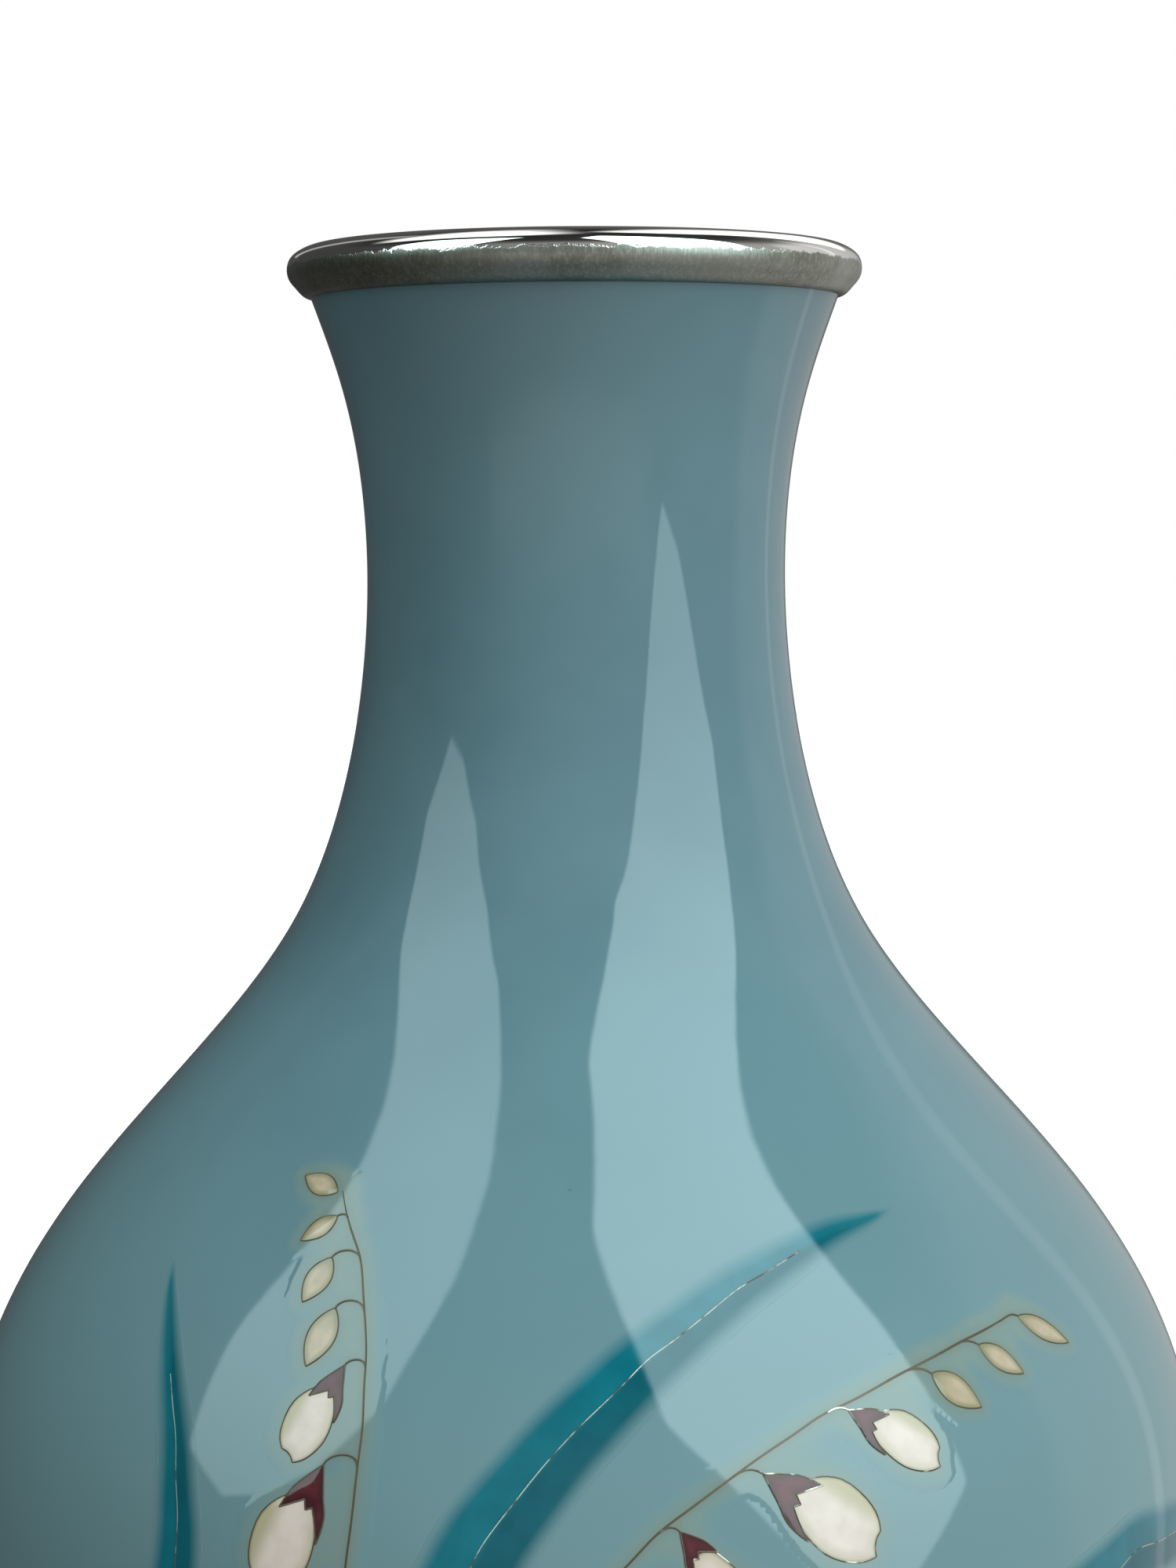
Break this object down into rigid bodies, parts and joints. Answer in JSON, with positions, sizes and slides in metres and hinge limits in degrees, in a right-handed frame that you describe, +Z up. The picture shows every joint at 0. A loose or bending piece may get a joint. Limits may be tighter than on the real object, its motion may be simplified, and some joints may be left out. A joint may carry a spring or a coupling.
{
  "type": "cloisonne vase",
  "caption": "Pear-shaped cloisonne vase on a copper body: pale blue enamel ground, wired white freesia sprays and teal leaves, trumpet neck, silvered rim and foot rings.",
  "frame": {"origin": "centre of the foot ring's underside, on the surface that the vase stands on", "axes": "+Z up along the vase's axis, -Y towards the side with the freesia design, +X to its right"},
  "size_m": [0.1474, 0.1474, 0.242],
  "materials": {
    "silver_plate": "bright silver plate, polished on top and worn satin on the outer side",
    "copper": "raised copper sheet, bare, covered by enamel on both sides",
    "silver_wire": "flat silver wire polished flush with the enamel",
    "ground_enamel": "glossy opaque pale grey-blue vitreous enamel, polished",
    "counter_enamel": "glossy blue-grey counter enamel, fired but not polished",
    "petal_enamel": "glossy cream-white enamel shaded grey-blue and yellow at the edges",
    "young_bud_enamel": "glossy cream to yellow-green enamel",
    "bract_enamel": "glossy dark maroon enamel",
    "leaf_enamel": "glossy deep teal enamel"
  },
  "bodies": {
    "root": {"base_enamel": "counter_enamel", "blossom_left_bract": "bract_enamel", "blossom_left_front_tepal": "petal_enamel", "blossom_left_side_tepal": "petal_enamel", "blossom_left_wire": "silver_wire", "blossom_middle_back_tepal": "petal_enamel", "blossom_middle_bract": "bract_enamel", "blossom_middle_far_tepal": "petal_enamel", "blossom_middle_front_tepal": "petal_enamel", "blossom_middle_side_tepal": "petal_enamel", "blossom_middle_wire": "silver_wire", "blossom_right_back_tepal": "petal_enamel", "blossom_right_bract": "bract_enamel", "blossom_right_far_tepal": "petal_enamel", "blossom_right_front_tepal": "petal_enamel", "blossom_right_side_tepal": "petal_enamel", "blossom_right_wire": "silver_wire", "bud_left_1_enamel": "young_bud_enamel", "bud_left_1_wire": "silver_wire", "bud_left_2_enamel": "young_bud_enamel", "bud_left_2_wire": "silver_wire", "bud_left_3_enamel": "young_bud_enamel", "bud_left_3_wire": "silver_wire", "bud_left_4_enamel": "young_bud_enamel", "bud_left_4_wire": "silver_wire", "bud_left_5_bract": "bract_enamel", "bud_left_5_enamel": "petal_enamel", "bud_left_5_wire": "silver_wire", "bud_left_6_bract": "bract_enamel", "bud_left_6_enamel": "petal_enamel", "bud_left_6_wire": "silver_wire", "bud_right_1_enamel": "young_bud_enamel", "bud_right_1_wire": "silver_wire", "bud_right_2_enamel": "young_bud_enamel", "bud_right_2_wire": "silver_wire", "bud_right_3_enamel": "young_bud_enamel", "bud_right_3_wire": "silver_wire", "bud_right_4_bract": "bract_enamel", "bud_right_4_enamel": "petal_enamel", "bud_right_4_wire": "silver_wire", "bud_right_5_bract": "bract_enamel", "bud_right_5_enamel": "petal_enamel", "bud_right_5_wire": "silver_wire", "copper_base_disc": "copper", "copper_lower_shell": "copper", "copper_upper_shell": "copper", "counter_enamel_lining": "counter_enamel", "foot_ring": "silver_plate", "ground_enamel": "ground_enamel", "leaf_centre_enamel": "leaf_enamel", "leaf_centre_rib_wire": "silver_wire", "leaf_left_enamel": "leaf_enamel", "leaf_left_rib_wire": "silver_wire", "leaf_low_enamel": "leaf_enamel", "leaf_right_enamel": "leaf_enamel", "leaf_right_rib_wire": "silver_wire", "rim_ring": "silver_plate", "stem_left_wire": "silver_wire", "stem_right_wire": "silver_wire"}
  },
  "joints": []
}
